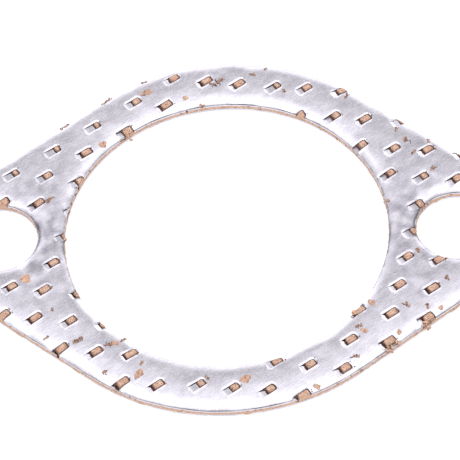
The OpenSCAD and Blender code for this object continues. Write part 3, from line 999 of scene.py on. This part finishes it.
def layFloor():
    mesh = bpy.data.meshes.new("floor")
    h = stage["floorSize"] / 2
    mesh.from_pydata([(-h, -h, -0.00002), (h, -h, -0.00002), (h, h, -0.00002), (-h, h, -0.00002)], [], [(0, 1, 2, 3)])
    floor = bpy.data.objects.new("floor", mesh)
    bpy.context.scene.collection.objects.link(floor)
    m = bpy.data.materials.new("white floor")
    m.use_nodes = True
    t = m.node_tree
    t.nodes.clear()
    out = t.nodes.new("ShaderNodeOutputMaterial")
    add = t.nodes.new("ShaderNodeAddShader")
    diffuse = t.nodes.new("ShaderNodeBsdfDiffuse")
    glow = t.nodes.new("ShaderNodeEmission")
    path = t.nodes.new("ShaderNodeLightPath")
    both = t.nodes.new("ShaderNodeMath")
    both.operation = "MAXIMUM"
    lit = t.nodes.new("ShaderNodeMath")
    lit.operation = "MULTIPLY"
    lit.inputs[1].default_value = stage["floorGlow"]
    diffuse.inputs["Color"].default_value = (stage["floorDiffuse"],) * 3 + (1,)
    t.links.new(path.outputs["Is Camera Ray"], both.inputs[0])
    t.links.new(path.outputs["Is Glossy Ray"], both.inputs[1])
    t.links.new(both.outputs[0], lit.inputs[0])
    t.links.new(lit.outputs[0], glow.inputs["Strength"])
    t.links.new(diffuse.outputs[0], add.inputs[0])
    t.links.new(glow.outputs[0], add.inputs[1])
    t.links.new(add.outputs[0], out.inputs["Surface"])
    floor.data.materials.append(m)


light = dict(
    # elevation as a share of the half circle from straight down to straight up, and brightness
    sky=((0.5, 1.5), (0.60, 1.4), (0.69, 0.74), (0.755, 0.62), (0.795, 0.72), (0.835, 1.3), (1.0, 1.35)),
    # lit panels to both sides: how much brighter, and between which sideways parts of the direction
    panels=dict(gain=0.45, side=(0.16, 0.34)),
    # beyond them the tent is open: how dark it is there, and where that begins and is full, by the
    # sideways part of the direction and by its height
    open=dict(dark=0.85, side=(0.48, 0.62), height=(0.6, 0.46)),
    key=dict(place=(-0.05, -0.02, 0.5), size=0.3, power=0.08),
)


def mapped(tree, value, span, out):
    # a value carried from one span to another, and held at its ends
    node = tree.nodes.new("ShaderNodeMapRange")
    for title, number in zip(("From Min", "From Max", "To Min", "To Max"), (*span, *out)):
        node.inputs[title].default_value = number
    tree.links.new(value, node.inputs["Value"])
    return node.outputs["Result"]


def skyLight():
    # white at the horizon, greyer half way up and bright overhead, by the height of the direction
    world = bpy.data.worlds.new("studio")
    bpy.context.scene.world = world
    world.use_nodes = True
    t = world.node_tree
    t.nodes.clear()
    out = t.nodes.new("ShaderNodeOutputWorld")
    back = t.nodes.new("ShaderNodeBackground")
    place = t.nodes.new("ShaderNodeTexCoord")
    split = t.nodes.new("ShaderNodeSeparateXYZ")
    rise = t.nodes.new("ShaderNodeMath")
    rise.operation = "ARCSINE"
    share = t.nodes.new("ShaderNodeMapRange")
    share.inputs["From Min"].default_value = -math.pi / 2
    share.inputs["From Max"].default_value = math.pi / 2
    band = t.nodes.new("ShaderNodeValToRGB")
    t.links.new(place.outputs["Generated"], split.inputs[0])
    t.links.new(split.outputs["Z"], rise.inputs[0])
    t.links.new(rise.outputs[0], share.inputs["Value"])
    t.links.new(share.outputs["Result"], band.inputs["Fac"])
    for k, (at, value) in enumerate(light["sky"]):
        stop = band.color_ramp.elements[k] if k < 2 else band.color_ramp.elements.new(at)
        stop.position = at
        stop.color = (value, value, value, 1)
    sideways = t.nodes.new("ShaderNodeMath")
    sideways.operation = "ABSOLUTE"
    t.links.new(split.outputs["X"], sideways.inputs[0])
    height = split.outputs["Z"]
    panels, gap = light["panels"], light["open"]
    bright = mapped(t, sideways.outputs[0], panels["side"], (1, 1 + panels["gain"]))
    both = t.nodes.new("ShaderNodeMath")
    both.operation = "MULTIPLY"
    t.links.new(mapped(t, sideways.outputs[0], gap["side"], (0, 1)), both.inputs[0])
    t.links.new(mapped(t, height, gap["height"], (0, 1)), both.inputs[1])
    left = t.nodes.new("ShaderNodeMath")
    left.operation = "MULTIPLY"
    t.links.new(mapped(t, both.outputs[0], (0, 1), (1, 1 - gap["dark"])), left.inputs[0])
    t.links.new(bright, left.inputs[1])
    t.links.new(left.outputs[0], back.inputs["Strength"])
    t.links.new(band.outputs["Color"], back.inputs["Color"])
    t.links.new(back.outputs[0], out.inputs["Surface"])


def keyLamp():
    k = light["key"]
    lamp = bpy.data.lights.new("softbox", "AREA")
    lamp.size = k["size"]
    lamp.energy = k["power"]
    o = bpy.data.objects.new("softbox", lamp)
    o.location = k["place"]
    o.rotation_euler = (-Vector(k["place"])).to_track_quat("-Z", "Y").to_euler()
    bpy.context.scene.collection.objects.link(o)


layFloor()
skyLight()
keyLamp()

view = dict(elevation=53.37, azimuth=4.77, roll=-5.50, distance=462.5, lens=277.3, target=(0.403, 1.166, 0.0))


def aimCamera():
    # back points from the target to the eye; right and up span the picture, and turn by the roll
    e, a, r = (math.radians(view[k]) for k in ("elevation", "azimuth", "roll"))
    back = Vector((math.sin(a) * math.cos(e), -math.cos(a) * math.cos(e), math.sin(e)))
    right = Vector((0, 0, 1)).cross(back).normalized()
    up = back.cross(right)
    turned = math.cos(r) * right + math.sin(r) * up
    upright = math.cos(r) * up - math.sin(r) * right
    m = Matrix((turned, upright, back)).transposed().to_4x4()
    m.translation = (Vector(view["target"]) + back * view["distance"]) * mm
    data = bpy.data.cameras.new("camera")
    data.lens = view["lens"]
    data.clip_start = 0.01
    o = bpy.data.objects.new("camera", data)
    o.matrix_world = m
    bpy.context.scene.collection.objects.link(o)
    bpy.context.scene.camera = o


aimCamera()
bpy.context.scene.view_settings.view_transform = "Standard"
